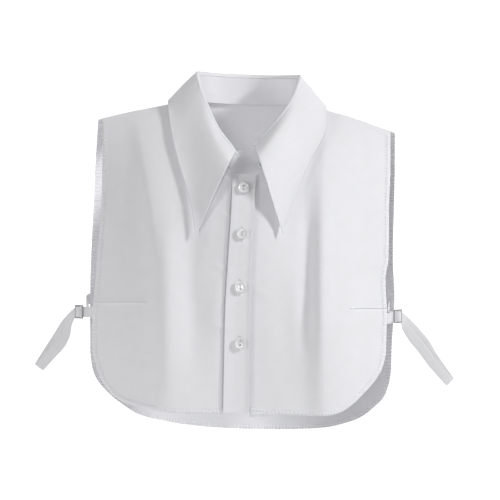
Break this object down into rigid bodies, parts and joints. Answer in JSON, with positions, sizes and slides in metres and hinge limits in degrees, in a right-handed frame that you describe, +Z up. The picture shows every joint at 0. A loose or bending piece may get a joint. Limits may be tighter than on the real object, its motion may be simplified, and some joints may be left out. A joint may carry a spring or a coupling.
{
  "type": "detachable shirt collar",
  "caption": "White woven false collar with long pointed leaves, a buttoned front bib, a longer back bib and side straps that run through ladder sliders.",
  "frame": {"origin": "middle of the neck opening, level with the shoulder seams, which is where the wearer's neck holds the collar up", "axes": "+Z up, -Y towards the buttoned front, +X towards the wearer's left"},
  "size_m": [0.4184, 0.2047, 0.3673],
  "materials": {
    "poplin": "fine plain-weave white shirting, matt",
    "collar_poplin": "fused two-layer white shirting, smooth and matt",
    "tape": "narrow white woven tape",
    "button": "polished white plastic with a raised rim",
    "slider": "moulded pale plastic"
  },
  "bodies": {
    "root": {"front_bib_right": "poplin", "front_bib_left": "poplin", "back_bib": "poplin", "placket": "poplin", "collar_stand": "collar_poplin", "collar_leaf": "collar_poplin", "button_1": "button", "button_2": "button", "button_3": "button", "button_4": "button", "collar_button": "button", "strap_right": "tape", "strap_left": "tape", "slider_right": "slider", "slider_left": "slider"}
  },
  "joints": []
}
